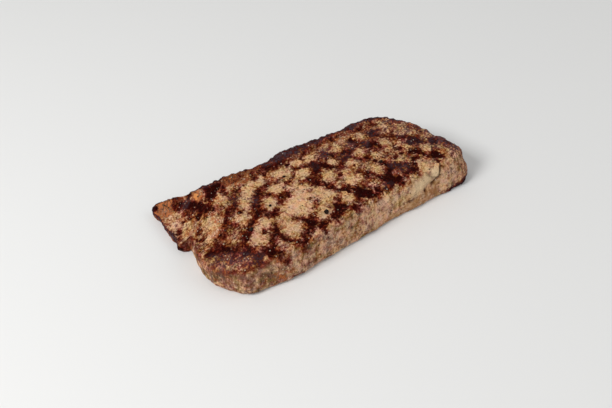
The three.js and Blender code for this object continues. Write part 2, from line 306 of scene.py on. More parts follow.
# black clots, as x, y, radius and strength
charClots = [
    (4, 9, 4.4, 1), (2, 3, 4.6, 0.9), (-1, -31, 5, 1.1), (17, -26, 3.6, 1), (21, -31, 4.4, 1),
    (27.5, -28.5, 3.4, 1.05), (39, -29, 5.2, 1.1), (50, -20, 4.4, 1), (43, -12, 2.8, 1.1),
    (43, 6, 3.4, 1), (52, 15, 3.2, 0.95), (68, -5, 4.2, 1), (74, -22, 4.4, 1.1), (28, -15, 2.6, 0.95),
    (24, 5, 3.8, 0.9), (14, 14, 3, 0.75), (-23, -31, 3.6, 1.05), (-27, -38, 3.4, 1), (-17, -37, 3.6, 1),
    (-8, -38, 2.2, 0.9), (-46, -9, 3.8, 1), (-34, 5, 3.8, 0.95), (-57, -19, 2.6, 0.9), (-79, -19, 3.6, 1),
    (-67, -28, 4, 1.05), (-52, -42, 4.2, 1.1), (-63, 20, 4, 1.1), (-57, 24, 4.2, 1.05),
    (-62, 25.5, 3.4, 1.1), (-55, 17.5, 3, 0.95), (15, -27, 6, 0.95), (34, -31, 4.5, 0.9),
    (61, -19.5, 4.3, 0.95), (13, -6, 2.2, 0.85), (-14, -23.5, 2.2, 0.6), (25.5, -5, 1.6, 0.7),
    (38.5, 2.5, 1.6, 0.6), (38, -8.5, 2.8, 1), (57, 20.5, 3, 0.7), (25, 10, 2.8, 1), (26, -17, 3.5, 0.8),
    (-22, -6.5, 3.2, 0.95), (-36, -17, 2.6, 0.85), (-38.5, -40, 2.4, 0.95), (-54, 14.5, 2.2, 0.75),
    (-48.5, 10.5, 2.4, 0.85), (-76, 7.5, 2.4, 0.7), (-81, -1, 2.4, 0.8), (-67, -23.5, 2.4, 0.8),
    (-76.5, -26, 2.8, 0.8), (-67, -33, 2.4, 0.7), (11, -32, 3.5, 0.8), (-15, -26, 2.8, 0.55),
    (-1, 17.5, 2, 1.3), (-12, -37, 2.2, 0.85), (-19, -38, 2.6, 0.9), (7, -37.5, 3, 0.75),
    (33, 11, 2.2, 0.8), (37.5, 16.5, 2.4, 1.1), (25, 23.5, 3.5, 0.75), (4, 23, 3, 0.7),
    (46, 23.5, 2.5, 0.7), (-12.5, -16, 2.4, 0.45), (-74, 22, 3.4, 1), (-70, 15, 3.6, 1),
    (-78, 4, 3, 0.75), (-82, 1, 2.6, 0.7), (-80, -3, 3.6, 0.85), (-62, 6, 2.2, 0.8), (-54, -3, 2.6, 1),
    (-72.5, -18, 3, 1.05), (-69.5, -25, 2.4, 0.85), (-82, 20, 1.6, 0.9), (-87, 17, 2.6, 0.7),
    (-89, 11, 3.2, 0.75), (-76, 18, 2.6, 0.55), (51, -11, 2.4, 0.8), (6, -35, 2.4, 1), (87, -18, 3.4, 1),
    (80.5, -11.5, 4.4, 1), (-46, 18, 1.6, 0.6), (55, 14.5, 2.2, 0.7), (-65, 20.5, 3.4, 1.3),
    (-72.5, 31, 2.8, 1), (-78.5, 32, 3.2, 1.2), (-75, 26, 3.4, 1.25), (-70.5, 20, 3.2, 1.2),
    (-78.5, 19, 2.6, 0.85), (-65, 9.5, 2, 0.8), (-79.5, 6, 3, 0.9), (-40, -9.5, 2.2, 0.9),
    (-57, -15.5, 2.2, 0.7), (-69.5, -30.5, 2.8, 0.95), (-47.5, -36.5, 2.2, 0.85), (-59.5, -42, 2.6, 0.8),
    (-24, 9.5, 2, 0.8), (-38, 24, 3, 0.75), (-44, 21.5, 2.5, 0.6), (-31, 23, 3, 0.8), (-53, 21, 3, 0.7),
    (-24, 24, 3, 0.75), (-73.5, 13.5, 2.8, 1), (-49, -6.5, 2.4, 0.8), (-48, -24.5, 2.3, 0.8),
    (-71, -31, 2.5, 0.8), (-55.5, -33.5, 2, 0.8), (-32.5, 18.5, 2.6, 1), (-23, 17, 1.6, 0.6),
    (-80, -11, 2.4, 0.6), (-9.5, -20, 3, 0.62), (-10, -9, 2.6, 0.55), (-17, -27, 2.4, 0.75),
    (2, -24.5, 3.2, 0.75), (10, -20.5, 2.6, 0.85), (-1, 6, 2, 0.8), (7, 14, 1.6, 0.6), (43, -29, 3, 0.95),
    (47, -31, 2.2, 0.6), (49.5, -12, 2, 0.8), (48, -16, 2, 0.8), (42.5, 11.5, 2.2, 0.7),
    (67, 11.5, 2.2, 0.6), (72, -29, 2.6, 0.6), (83, -28, 2.6, 0.6), (58, -23.5, 2.2, 0.85),
    (56, -10.5, 2.4, 0.8), (56, -5.5, 2.6, 0.9), (84, -16, 2.4, 0.7), (55, 22.5, 2.6, 0.7),
    (62, 8, 2, 0.7), (-9, 17.5, 2.2, 1.1), (-26, 17.5, 2, 0.9), (-15.5, 4, 2, 0.8), (-10, -3, 2.4, 0.65),
    (-11.5, -22, 2, 0.6), (-17, -40, 2.6, 0.9), (-26.5, -40, 2, 0.9), (10, -23, 2.4, 0.85),
    (8, -35.5, 3, 0.85), (8.5, 16, 1.8, 0.8), (39.5, -11, 2.4, 0.9), (-20.5, 1.5, 2, 0.75),
    (-11.5, 6, 2.2, 0.8), (2.5, -2, 2, 0.8), (13.5, -18.5, 2.2, 0.85), (-7, -27.5, 2, 0.65),
    (-66, -40, 1.2, 0.9), (-72, -43, 1.6, 0.8), (-61, -41, 1.3, 0.7),
]

# lighter meat left between the marks of the right half, as x, y, radius and strength
bareSpots = [
    (-18, 13, 5.5, 0.9), (-3, 16, 4, 1), (2, 15, 3.6, 0.8), (7, 15, 3.6, 0.9), (-5.5, 5.5, 4.4, 1),
    (-27, 3.5, 5, 1), (-21, -14, 6.5, 0.55), (-23, -20, 6, 0.6), (-14, -6, 5, 0.5), (-4, -18, 4.4, 0.6),
    (-4, -12, 4, 0.4), (6, -4, 5, 1), (15, 5, 3.6, 0.9), (23.5, 15, 3.8, 0.7), (29, 18, 3.2, 0.6),
    (24.5, -3.5, 5.8, 0.85), (35, 5, 4.2, 0.9), (17.5, -14, 6.4, 1), (35.5, -14.5, 4.4, 0.75),
    (6, -25, 4.2, 0.6), (26.5, -25, 3.6, 0.35), (-12, -28, 5.4, 0.8), (41, -5, 4.2, 0.8),
    (54.5, 4, 4.8, 0.9), (42, 14, 3.2, 0.55), (60, 4.5, 3.2, 0.55), (51.5, -2.5, 3.6, 0.9),
    (45.5, -4.5, 3, 0.7), (40.5, -16.5, 2.4, 0.6), (42.5, 16.5, 3.4, 0.9), (76, 8, 4, 0.55),
    (79.5, 0, 3.6, 0.5), (51.5, -14, 4.2, 0.7), (61, -6, 4.2, 0.65), (71.5, -16, 4.4, 0.85),
    (61.5, -27, 4.8, 0.95), (66, 5, 3.6, 0.35), (62, 14, 4, 0.4), (60, 12.5, 3.2, 0.4), (60, 20, 5, 0.4),
    (68, 12, 5, 0.4), (-31, 15, 5, 0.9), (-33, -6, 4, 0.9), (67, -30, 4, 0.65), (31, -33.5, 3.4, 1),
    (16, 20, 3.4, 0.5), (36, 21, 3, 0.4), (-8, -5, 3.6, 0.5), (-52.5, -18.5, 2.8, 0.7),
    (-40.5, 9, 3.2, 0.9), (-30, -12.5, 3, 0.8), (17, -5.5, 3.4, 0.8), (-12, 12, 2.6, 0.7),
    (0.5, -23, 3, 0.9), (-1, -6.5, 2, 0.6), (5.5, -15.5, 2.6, 0.9), (3.5, 18, 2.6, 0.9),
    (-61, 14, 3.4, 0.6), (-68, 6, 3, 0.6), (37, -18.5, 2.4, 0.6), (-48.5, 3, 3.2, 0.6),
    (-25, 14, 3.4, 0.7), (-46, -17.5, 4, 0.6), (46, 15, 2.6, 0.8), (61, -10.5, 2.4, 0.5),
    (-31, -27, 3.4, 0.6), (-22.5, -27, 2.4, 0.9), (8, -12.5, 3, 0.6), (18, -33.5, 3, 0.6),
    (56, -17.5, 2.6, 0.6), (80, -20, 3.6, 0.7), (75, 2, 4, 0.35),
]

# crisped orange fat, as x, y, radius and strength
crispFat = [
    (-90, 42, 6, 0.9), (-84, 42, 6, 1), (-80, 37, 5, 1), (-86, 35, 4, 0.9), (-68.5, 26, 3.4, 1.6),
    (-49, 25, 5, 0.9), (-43, 26, 5, 0.9), (-36, 27, 5, 0.75), (-28, 26, 4.5, 0.75), (-60, 12, 4, 0.35),
    (-67, 0, 7, 0.42), (-72, -6, 5, 0.4), (-50, -46, 4, 0.7), (-12, 22, 4, 0.6), (-4, 22, 4, 0.5),
    (12, 22, 4, 0.45), (30, 20, 5, 0.55), (46, 22, 5, 0.6), (54, 22, 3.5, 0.5), (64, -16, 3.5, 0.5),
    (58, -29, 3.5, 0.5), (22, -7, 4, 0.3), (-64, 30, 3, 0.5),
]

# places where a purplish grey sheen is painted on the crust, a painted reflection that also tints it, as x, y,
# radius and strength
coolSheen = [
    (-76, 30, 3.6, 0.8), (-76, -30, 7, 0.9), (-67, -36, 6, 1), (-60, -40, 5, 0.6), (-82, -24, 5, 0.6),
    (33, 13, 5, 1), (42, 9, 4, 0.8), (14, 15, 5, 1), (24, 6, 5, 0.8), (50, -22, 5.5, 0.9),
    (46, -17, 4, 0.7), (52, 15, 5, 0.7), (68, -6, 5, 0.7), (80, -14, 6, 0.9), (80, 3, 5, 0.9),
    (85, -8, 6, 1), (89, -24, 5, 1), (75, -9, 4, 0.7), (34, -29, 3.5, 0.7), (-43, 1, 4, 0.8),
    (-52, 8, 4, 0.5), (4, 8, 4, 0.5), (86, -17, 5, 0.7), (71, 6, 7, 0.9), (64, 16, 7, 0.8),
    (-20, 9, 2, 0.6),
]

# the charred band along the back rim: how far in it reaches at each place along the steak
rimReach = [
    (-94, 1.4), (-88, 2), (-80, 2.4), (-72, 2.6), (-62, 4.5), (-52, 4.5), (-47, 1.2), (-40, 2.8),
    (-35, 2.4), (-30, 1.4), (-26, 3.6), (-14, 6.6), (-5, 8), (3, 8), (10, 5.8), (18, 5.8), (25, 6.4),
    (31, 4.6), (36, 5.4), (42, 6.8), (50, 4.4), (58, 5.2), (66, 4), (70, 4.2), (76, 3.8), (81, 6),
    (85, 9), (88, 8.5), (93, 5),
]

# the split along the right part of the front side, as x and height
crackLine = [(71.5, 25), (70, 21.5), (68.7, 17.5), (65.4, 15.5), (58.4, 10.9), (52, 10), (44.3, 9.2)]

# the faint crease that parts the two pale lobes beside it
creaseLine = [(67.4, 17), (64, 18.6), (61.5, 21), (60, 23)]

# where the brown strip under the split starts, left of it, as x and height
stripStart = [(20, 3), (35, 6.6)]

# burnt lumps of crust at the rim, as x, y, z, radius and height
crustLumps = [
    (-91, 44, 6, 2.8, 0.9), (-90.5, 8.5, 4, 3, 1), (45, 29, 23, 2.8, 1), (59, 27, 23, 2.6, 0.9),
    (73, 20, 23, 2.6, 0.8), (84, 1, 21.5, 3.6, 1.1), (-9, 31, 23, 2.8, 0.9), (88, -32, 3.5, 5, 0.8),
]


def lineDistance(x, y, points):
    # the shortest distance to a run of straight pieces
    best = np.full(x.shape, 1e9)
    for (ax, ay), (bx, by) in zip(points, points[1:]):
        dx, dy = bx - ax, by - ay
        t = np.clip(((x - ax) * dx + (y - ay) * dy) / (dx * dx + dy * dy), 0, 1)
        best = np.minimum(best, np.hypot(x - ax - t * dx, y - ay - t * dy))
    return best


def blob(x, y, spots, inner, outer):
    # the strongest of many round spots, each fading between two shares of its radius
    best = np.zeros(x.shape)
    for px, py, radius, strength in spots:
        fade = 1 - rise(inner * radius, outer * radius, np.hypot(x - px, y - py))
        best = np.maximum(best, strength * fade)
    return best


# How the steak is burnt and how the crust lies on it. Fades are shares of a mark's width or of a
# spot's radius; the other pairs run from none to full, in mm of x, y, z or of distance from the edge.
crust = {
    "wander": ((9, 1.0, 11), (3.4, 1.3, 21), (1.3, 0.8, 31)),  # cell, reach and seed of the ragged edges
    "markFade": (0.16, 0.88),
    "markStrength": 0.92,
    "glowFade": (0.35, 0.6),  # the brown glow starts inside a mark
    "glowReach": 3.6,  # and ends this far outside
    "clotFade": (0.35, 1.2),
    "clotGlowFade": (0.6, 1.7),
    "clotGlow": 0.9,
    "bareFade": (0.35, 1.35),
    "bareOnMarks": 0.8,  # how much a bare spot takes from the marks
    "bareOnClots": 0.35,  # and from the clots
    "fatFade": (0.3, 1.35),
    "sheenFade": (0.4, 1.3),
    "rightDarker": 0.15,  # the marks are stronger in the right half
    "rightAlong": (-4, 6),
    "groundGlow": 1.12,  # where the meat between them is brown as well
    "groundAlong": (-14, 6),
    "groundAcross": (-24, -33),
    "groundPaler": 0.25,
    "groundPalerAlong": (38, 56),
    "mottle": (3.0, 51, 3),  # noises, as cell size, seed and octaves
    "grit": (1.5, 61, 2),
    "coarse": (13.0, 71, 2),
    "patchy": (5.5, 73, 2),
    "fibre": (1.6, 91, 2),
    "muscle": (5, 95, 2),
    "rimCrumbs": (2.4, 97, 2),
    "wallTilt": (0.42, 0.85),  # upward part of the normal, from wall to top
    "searTilt": (-0.05, 0.45),  # the same, and the height, of what the grill could reach
    "searHeight": (9, 14),
    "flapTilt": (-0.1, 0.4),
    "flapStart": (-72, -80),
    "backAcross": (6, 14),  # the back side, which ends at this x and goes on round the corner
    "backEnd": 74,
    "cornerFrom": 68,
    "cornerAcross": (-32, -24),
    "upperShare": (0.35, 0.75),  # the upper part of the side, as a share of its height
    "rimFade": (-1.6, 1.2),  # the charred rim fades round its reach
    "rimPaler": 0.5,
    "rightEnd": (70, 80),
    "bandFade": (7.5, 11.5),  # the browned band inside it
    "bandStart": (-64, -56),
    "crispFrom": (-34, -42),  # crisped fat in its left part
    "palerFrom": (30, 44),  # and less of it in its right part
    "farEnd": (46, 58),
    "noseTopAlong": (-62, -70),
    "noseTopAcross": (-18, -26),
    "barSpacing": 16,  # bars of the grill on the underside
    "barTurns": (0.8, -0.75),
    "barFade": (0.10, 0.24),
    "cornerAlong": (66, 84),  # the low corner at the right, darker towards the floor
    "cornerHeight": (2.5, 6.0),
    "frontAcross": (-24, -31),
    "splitWidth": (0.2, 1.0),
    "creaseWidth": (0.2, 0.9),
    "upperLobe": (66.4, 20.6, 3.6, 3.8),  # pale lobes, as x, height and their half sizes
    "lowerLobe": (55.5, 16.8, 8.5, 4.6),
    "lobeSlope": 0.2,
    "grooveDepth": 0.85,
    "splitDepth": 1.1,
    "lobeRise": 0.7,
    "rimRough": 1.6,
}


def burnField(points):
    # How charred the top is: each mark falls off across its width, with ragged edges from three noises,
    # and marks that cross add up to black. Gives the char, the brown glow, bare spots, fat and where a sheen
    # is painted.
    c = crust
    x, y = points[..., 0].copy(), points[..., 1].copy()
    for cell, reach, seed in c["wander"]:
        x += reach * 2 * (noise(points, cell, seed) - 0.5)
        y += reach * 2 * (noise(points, cell, seed + 1) - 0.5)
    total = np.zeros(x.shape)
    glow = np.zeros(x.shape)
    near, far = c["markFade"]
    glowNear, glowFar = c["glowFade"]
    for line, width, dark in grillMarks:
        d = lineDistance(x, y, line)
        total += (dark * (1 - rise(near * width, far * width, d))) ** 3
        glow = np.maximum(glow, dark * (1 - rise(glowNear * width, glowFar * width + c["glowReach"], d)))
    clots = blob(x, y, charClots, *c["clotFade"])
    glow = np.maximum(glow, blob(x, y, charClots, *c["clotGlowFade"]) * c["clotGlow"])
    bare = blob(x, y, bareSpots, *c["bareFade"])
    marks = c["markStrength"] * total ** (1 / 3) * (1 - c["bareOnMarks"] * bare)
    core = np.maximum(marks, clots * (1 - c["bareOnClots"] * bare))
    core = core * (1 + c["rightDarker"] * rise(*c["rightAlong"], x))
    ground = rise(*c["groundAlong"], x + 0.5 * y) * (1 - rise(*c["groundAcross"], y))
    warmth = c["groundGlow"] - c["groundPaler"] * rise(*c["groundPalerAlong"], x)
    glow = np.maximum(glow, warmth * ground) * (1 - bare)
    return core, glow, bare, blob(x, y, crispFat, *c["fatFade"]), blob(x, y, coolSheen, *c["sheenFade"])


def readSurface():
    # The bare form with what the burning reads from it: which way it faces, what the grill could reach,
    # which part is the back side, and four noises that break up every edge.
    c = crust
    points, sideHeight, edge = steakSurface()
    s = SimpleNamespace(points=points, edge=edge)
    s.x, s.y, s.z = points[..., 0], points[..., 1], points[..., 2]
    ring = np.indices(points.shape[:2])[0]
    firstSide = steakForm["ringsTop"] + 1
    s.onUnder = ring >= firstSide + steakForm["ringsSide"]
    s.onSide = (ring >= firstSide) & ~s.onUnder
    s.normals = gridNormals(points)
    upward = s.normals[..., 2]
    s.wall = 1 - rise(*c["wallTilt"], upward)
    s.mottle = cloud(points, *c["mottle"])
    s.grit = cloud(points, *c["grit"])
    s.coarse = cloud(points, *c["coarse"])
    s.patchy = cloud(points, *c["patchy"])
    high = rise(*c["searTilt"], upward) * rise(*c["searHeight"], s.z)
    s.topness = np.maximum(high, rise(*c["flapStart"], s.x) * rise(*c["flapTilt"], upward))
    straight = rise(*c["backAcross"], s.y) * (s.x < c["backEnd"])
    s.backSide = np.maximum(straight, (s.x >= c["cornerFrom"]) * rise(*c["cornerAcross"], s.y)) * ~s.onUnder
    s.upper = rise(*c["upperShare"], sideHeight + 0.5 * (s.mottle - 0.5))
    return s


def searTop(s):
    # the marks broken up by three noises, the brown glow round them, the crisped fat, and where a sheen is
    # painted
    core, glow, s.bare, fat, s.cool = burnField(s.points)
    uneven = 1.0 + 0.9 * (s.patchy - 0.5) + 0.7 * (s.mottle - 0.5) + 0.5 * (s.grit - 0.5)
    s.burn = core * uneven * s.topness
    s.heat = glow * s.topness * (0.65 + 0.8 * rise(0.3, 0.7, s.patchy))
    s.ember = fat * s.topness


def charBackRim(s):
    # a charred rim that reaches further in at some places, then a browned band with crisped fat at its left,
    # then patches of brown; each is the larger of what is there and its own value
    c = crust
    x, edge, mottle, patchy, grit = s.x, s.edge, s.mottle, s.patchy, s.grit
    uneven = 0.8 + 0.5 * (mottle - 0.5) + 0.5 * (patchy - 0.5)
    reach = np.interp(x, *zip(*rimReach)) * (uneven + 0.2)
    before, after = c["rimFade"]
    s.rim = (1 - rise(reach + before, reach + after, edge)) * s.backSide
    paler = 1 - c["rimPaler"] * rise(*c["rightEnd"], x)
    s.burn = np.maximum(s.burn, s.rim * s.upper * (0.95 + 0.8 * (mottle - 0.5)) * paler)

    inward = edge - 2 * rise(-6, -12, x) + 3 * (mottle - 0.5)
    band = s.backSide * (1 - rise(*c["bandFade"], inward)) * rise(*c["bandStart"], x)
    crisp = rise(*c["crispFrom"], x)
    paler = rise(*c["palerFrom"], x)
    s.ember = np.maximum(s.ember, band * (0.35 + 0.6 * crisp) * rise(0.1, 0.45, patchy) * (x < 50))
    s.heat = np.maximum(s.heat, band * (1.15 + 1.0 * (grit - 0.5)) * (1 - 0.35 * paler))
    char = 0.60 + 0.12 * rise(-34, -24, x) * (1 - rise(0, 10, x)) + 1.3 * (mottle - 0.5) + 0.9 * (patchy - 0.5)
    s.burn = np.maximum(s.burn, band * char * (1 - 0.3 * paler) * (1 - 0.35 * crisp))

    farEnd = rise(*c["farEnd"], x) * (1 - rise(5, 15, edge)) * s.backSide
    s.heat = np.maximum(s.heat, farEnd * (0.75 + 1.2 * (grit - 0.5)))
    s.heat = np.maximum(s.heat, 0.45 * rise(20, 60, x) * s.topness * rise(0.3, 0.6, mottle))
    nearRim = (1 - rise(6, 14, edge)) * s.backSide * rise(-34, -20, x)
    s.heat = np.maximum(s.heat, 0.6 * nearRim * rise(0.35, 0.6, mottle))


def brownLeftEnd(s):
    # the thin flap is redder and darker towards its edges, and the nose is browned on top
    c = crust
    x, y = s.x, s.y
    flap = rise(-78, -86, x) * rise(-2, 6, y)
    flapEdge = (1 - rise(1.0, 5.0, s.edge)) * flap * ~s.onUnder
    s.heat = np.maximum(s.heat, flapEdge * (0.9 + 1.2 * (s.mottle - 0.4)))
    noseTop = rise(*c["noseTopAlong"], x) * rise(*c["noseTopAcross"], y)
    leftTop = 0.55 * rise(-70, -80, x) * rise(0, 8, y) + 1.0 * noseTop
    s.heat = np.maximum(s.heat, leftTop * rise(0.3, 0.6, s.mottle) * s.topness)
    noseEdge = rise(-77, -84, x) * rise(8, 3, y) * rise(-20, -13, y)
    s.heat = np.maximum(s.heat, noseEdge * (1.2 + 0.8 * (s.mottle - 0.5)) * s.topness)


def barUnderside(s):
    # the underside met the same grill: straight crossed bars, as bands round whole numbers of a phase
    c = crust
    for turn in c["barTurns"]:
        phase = (s.x * np.sin(turn) + s.y * np.cos(turn)) / c["barSpacing"] + 0.35 * (s.coarse - 0.5)
        bar = 1 - rise(*c["barFade"], np.abs(phase - np.round(phase)))
        s.burn = np.where(s.onUnder, np.maximum(s.burn, 0.95 * bar * (0.6 + 0.8 * s.mottle)), s.burn)
        s.heat = np.where(s.onUnder, np.maximum(s.heat, 0.8 * bar), s.heat)


def brownSides(s):
    # the low outer corner and the lower part of the right end are darker, one spot of the foot and the back
    # wall are warm
    c = crust
    x, y, z, mottle = s.x, s.y, s.z, s.mottle
    low = 1 - rise(*c["cornerHeight"], z + 3 * (mottle - 0.5))
    corner = rise(*c["cornerAlong"], x) * low * rise(-20, -30, y) * s.onSide
    s.burn = np.maximum(s.burn, corner * (0.75 + 0.5 * mottle))
    endEdge = rise(89, 92.5, x) * s.onSide * rise(0.35, 0.7, mottle) * (1 - rise(14, 20, z))
    s.burn = np.maximum(s.burn, endEdge * 0.6)
    warmFoot = np.exp(-(((x + 50) / 6) ** 2 + ((z - 7) / 4) ** 2)) * rise(-30, -38, y) * s.onSide
    s.ember = np.maximum(s.ember, 0.8 * warmFoot * rise(0.25, 0.6, mottle))
    backWall = s.onSide * s.backSide * (1 - s.upper)
    s.ember = np.maximum(s.ember, 0.55 * backWall * rise(0.3, 0.7, s.patchy))


def openFront(s):
    # the split and the crease as thin bands round their lines, the pale lobes as squared-off bells,
    # the brown strip under the split, and the greyish wall of the nose
    c = crust
    x, y, z, mottle, points = s.x, s.y, s.z, s.mottle, s.points
    front = rise(*c["frontAcross"], y)
    alongSplit = x + 1.6 * (noise(points, 3.5, 81) - 0.5)
    upSplit = z + 1.6 * (noise(points, 3.5, 83) - 0.5)
    split = 1 - rise(*c["splitWidth"], lineDistance(alongSplit, upSplit, crackLine))
    split = split * rise(-26, -31, y) * rise(40, 44, x)
    creased = 1 - rise(*c["creaseWidth"], lineDistance(x + 1.2 * (mottle - 0.5), z, creaseLine))
    s.split = np.maximum(split, 0.5 * front * creased)

    ux, uz, uWide, uHigh = c["upperLobe"]
    upperLobe = np.exp(-(((x - ux) / uWide) ** 2 + ((z - uz) / uHigh) ** 2) ** 2)
    lx, lz, lWide, lHigh = c["lowerLobe"]
    lowerLobe = np.exp(-(((x - lx) / lWide) ** 2 + ((z - lz - c["lobeSlope"] * (x - lx)) / lHigh) ** 2) ** 2)
    s.pale = front * np.maximum(upperLobe, lowerLobe)

    splitHeight = np.interp(x, *zip(*stripStart, *crackLine[::-1]))
    s.strip = front * rise(0, 1.2, splitHeight - z) * rise(8, 30, x) * (1 - rise(66, 72, x)) * s.onSide
    s.nose = rise(-46, -58, x) * rise(-8, -26, y) * s.wall * (0.25 + 0.75 * rise(7, 15, z))


def raiseCrust(s):
    # relief along the normals, in mm: grooves where it is burnt, crumbs, upright fibres on the sides,
    # the split, the lobes and the burnt lumps; none on the underside
    c = crust
    points, x, y, z = s.points, s.x, s.y, s.z
    fibre = cloud(points * [1, 1, 0.22], *c["fibre"])
    muscle = cloud(points * [1, 1, 0.6], *c["muscle"])
    burnt = np.clip(s.burn, 0, 1)
    relief = -c["grooveDepth"] * burnt * s.topness * (1 - s.rim)
    relief += (0.7 * (s.mottle - 0.5) + 0.45 * (s.grit - 0.5)) * (1 - 0.3 * s.wall)
    relief += s.wall * (0.7 * (fibre - 0.5) + 1.0 * (muscle - 0.5))
    relief += s.rim * c["rimRough"] * (cloud(points, *c["rimCrumbs"]) - 0.5)
    relief += burnt * 0.7 * (noise(points, 1.3, 99) - 0.5)
    relief -= c["splitDepth"] * s.split
    relief += c["lobeRise"] * s.pale
    for lx, ly, lz, radius, height in crustLumps:
        d = np.sqrt((x - lx) ** 2 + (y - ly) ** 2 + (z - lz) ** 2)
        relief += height * (1 - rise(0.2 * radius, radius, d))
        s.burn = np.maximum(s.burn, 1.05 * (1 - rise(0.6 * radius, 1.1 * radius, d)))
    relief *= rise(0.0, 0.8, z) * ~s.onUnder
    raised = points + s.normals * relief[..., None]
    raised[..., 2] = np.maximum(raised[..., 2], 0)
    return raised


def surfaceFields(s):
    # what the material reads at each point, each about 0 to 1
    x, wall = s.x, s.wall
    rightEnd = rise(*crust["rightEnd"], x)
    # painted sheen on the right end's wall and on the charred rim: a purplish grey reflection painted in,
    # partly also a grey tint
    endSheen = 0.45 * rise(72, 80, x) * wall * s.onSide
    rimSheen = s.rim * s.upper * (0.9 + 0.6 * rise(0.35, 0.7, s.patchy) + 0.3 * rightEnd)
    paleWall = 0.24 * rise(14, 42, x) * (1 - 0.8 * rise(70, 78, x))
    return {
        "sear": np.clip(np.maximum(0.42 * np.clip(s.heat, 0, 1.25), s.burn), 0, 1.2),
        "ember": s.ember,
        "cool": np.maximum(np.maximum(s.cool * s.topness, endSheen), rimSheen),
        "wall": wall,
        "pale": np.clip(s.pale, 0, 1),
        "split": s.split,
        "strip": s.strip,
        "nose": s.nose,
        "tone": s.coarse - 0.35 * s.bare * s.topness + wall * (0.16 * rise(-6, -40, x) - paleWall),
        "hue": s.coarse + 0.30 * s.bare * s.topness - 0.08 * wall - 0.3 * s.nose,
    }


def makeSteak():
    # the form, burnt part by part, then raised into relief and centred as the solid is
    s = readSurface()
    searTop(s)
    charBackRim(s)
    brownLeftEnd(s)
    barUnderside(s)
    brownSides(s)
    openFront(s)
    print("steak burnt: share of the surface that is black", round(float((s.burn > 0.7).mean()), 2))
    points = raiseCrust(s)
    fields = surfaceFields(s)
    flatPoints = points.reshape(-1, 3)
    middle = (flatPoints.min(0) + flatPoints.max(0)) / 2
    shift = np.array([middle[0], middle[1], 0])
    return meshFromRings("steakMeat", points - shift, fields), points - shift, gridNormals(points), shift


def addPiece(name, points, faces):
    # a linked object whose mesh has these points, given in millimetres
    mesh = bpy.data.meshes.new(name)
    mesh.from_pydata((points * mm).tolist(), [], faces.tolist())
    piece = bpy.data.objects.new(name, mesh)
    bpy.context.collection.objects.link(piece)
    return piece


def meshFromRings(name, points, fields):
    # rings joined by four-sided faces; the first and last ring close on themselves along the middle
    rings, around = points.shape[:2]
    number = np.arange(rings * around).reshape(rings, around)
    mirror = (around - np.arange(around)) % around
    for r in (0, rings - 1):
        number[r] = np.minimum(number[r], number[r][mirror])
    used, index = np.unique(number, return_inverse=True)
    index = index.reshape(rings, around)
    a, b = index[:-1], np.roll(index, -1, 1)[:-1]
    c, d = index[1:], np.roll(index, -1, 1)[1:]
    faces = np.stack([a, b, d, c], -1).reshape(-1, 4)
    piece = addPiece(name, points.reshape(-1, 3)[used], faces)
    mesh = piece.data
    mesh.polygons.foreach_set("use_smooth", np.ones(len(faces), bool))
    for field, values in fields.items():
        layer = mesh.attributes.new(field, "FLOAT", "POINT")
        layer.data.foreach_set("value", values.reshape(-1)[used].astype(np.float32))
    return piece


def node(tree, kind, **values):
    # one new node with its settings
    made = tree.nodes.new(kind)
    for key, value in values.items():
        setattr(made, key, value)
    return made


def feed(tree, socket, value):
    # a link where the value is another node's output, otherwise a constant
    if isinstance(value, (int, float, list, tuple)):
        socket.default_value = value
    else:
        tree.links.new(value, socket)


def mathNode(tree, operation, a, b, clamp=False):
    # the operation on a and b, each a constant or another node's output
    made = node(tree, "ShaderNodeMath", operation=operation, use_clamp=clamp)
    feed(tree, made.inputs[0], a)
    feed(tree, made.inputs[1], b)
    return made.outputs[0]


def ramp(tree, value, low, high):
    # runs smoothly from 0 at low to 1 at high
    made = node(tree, "ShaderNodeMapRange", interpolation_type="SMOOTHSTEP")
    tree.links.new(value, made.inputs["Value"])
    made.inputs["From Min"].default_value = low
    made.inputs["From Max"].default_value = high
    return made.outputs["Result"]


def mixColour(tree, share, a, b, blend="MIX"):
    # colour a, with that share of colour b blended over it
    made = node(tree, "ShaderNodeMix", data_type="RGBA", blend_type=blend)
    feed(tree, made.inputs[0], share)
    feed(tree, made.inputs[6], a)
    feed(tree, made.inputs[7], b)
    return made.outputs[2]


def attribute(tree, name):
    # one of the surface fields
    return node(tree, "ShaderNodeAttribute", attribute_name=name).outputs["Fac"]


def noiseNode(tree, vector, scale, detail, roughness):
    # octaves of noise at that many cells per metre, about 0 to 1
    made = node(tree, "ShaderNodeTexNoise")
    tree.links.new(vector, made.inputs["Vector"])
    made.inputs["Scale"].default_value = scale
    made.inputs["Detail"].default_value = detail
    made.inputs["Roughness"].default_value = roughness
    return made.outputs["Fac"]


def dotLayer(tree, vector, scale, largest, share):
    # round dots of random size, up to a share of a cell, in a random share of the cells
    cells = node(tree, "ShaderNodeTexVoronoi")
    cells.inputs["Scale"].default_value = scale
    tree.links.new(vector, cells.inputs["Vector"])
    pick = node(tree, "ShaderNodeSeparateColor")
    tree.links.new(cells.outputs["Color"], pick.inputs["Color"])
    size = mathNode(tree, "MULTIPLY", pick.outputs["Red"], largest)
    gap = mathNode(tree, "SUBTRACT", size, cells.outputs["Distance"])
    shown = mathNode(tree, "LESS_THAN", pick.outputs["Green"], share)
    return mathNode(tree, "MULTIPLY", ramp(tree, gap, -0.05, 0.08), shown)


# the grain of the meat: scales are cells per metre
grainSizes = {
    "grain": (720, 4.0, 0.68),  # noises, as scale, detail and roughness
    "streak": (400, 4.0, 0.62),
    "streakStretch": 0.3,  # streaks run upright
    "blotch": (230, 3.0, 0.6),
    "redness": (260, 3.0, 0.65),
    "rust": (200, 3.0, 0.65),
    "rednessOffset": 0.31,  # these read the noise at other places
    "rustOffset": 0.57,
    "stipple": (760, 0.5, 0.8),  # dots, as scale, largest size and share of cells
    "pepper": (430, 0.26, 0.5),
    # painted glints: light dots that stand in for small highlights
    "paintedGlint": (620, 0.3, 0.27),
}


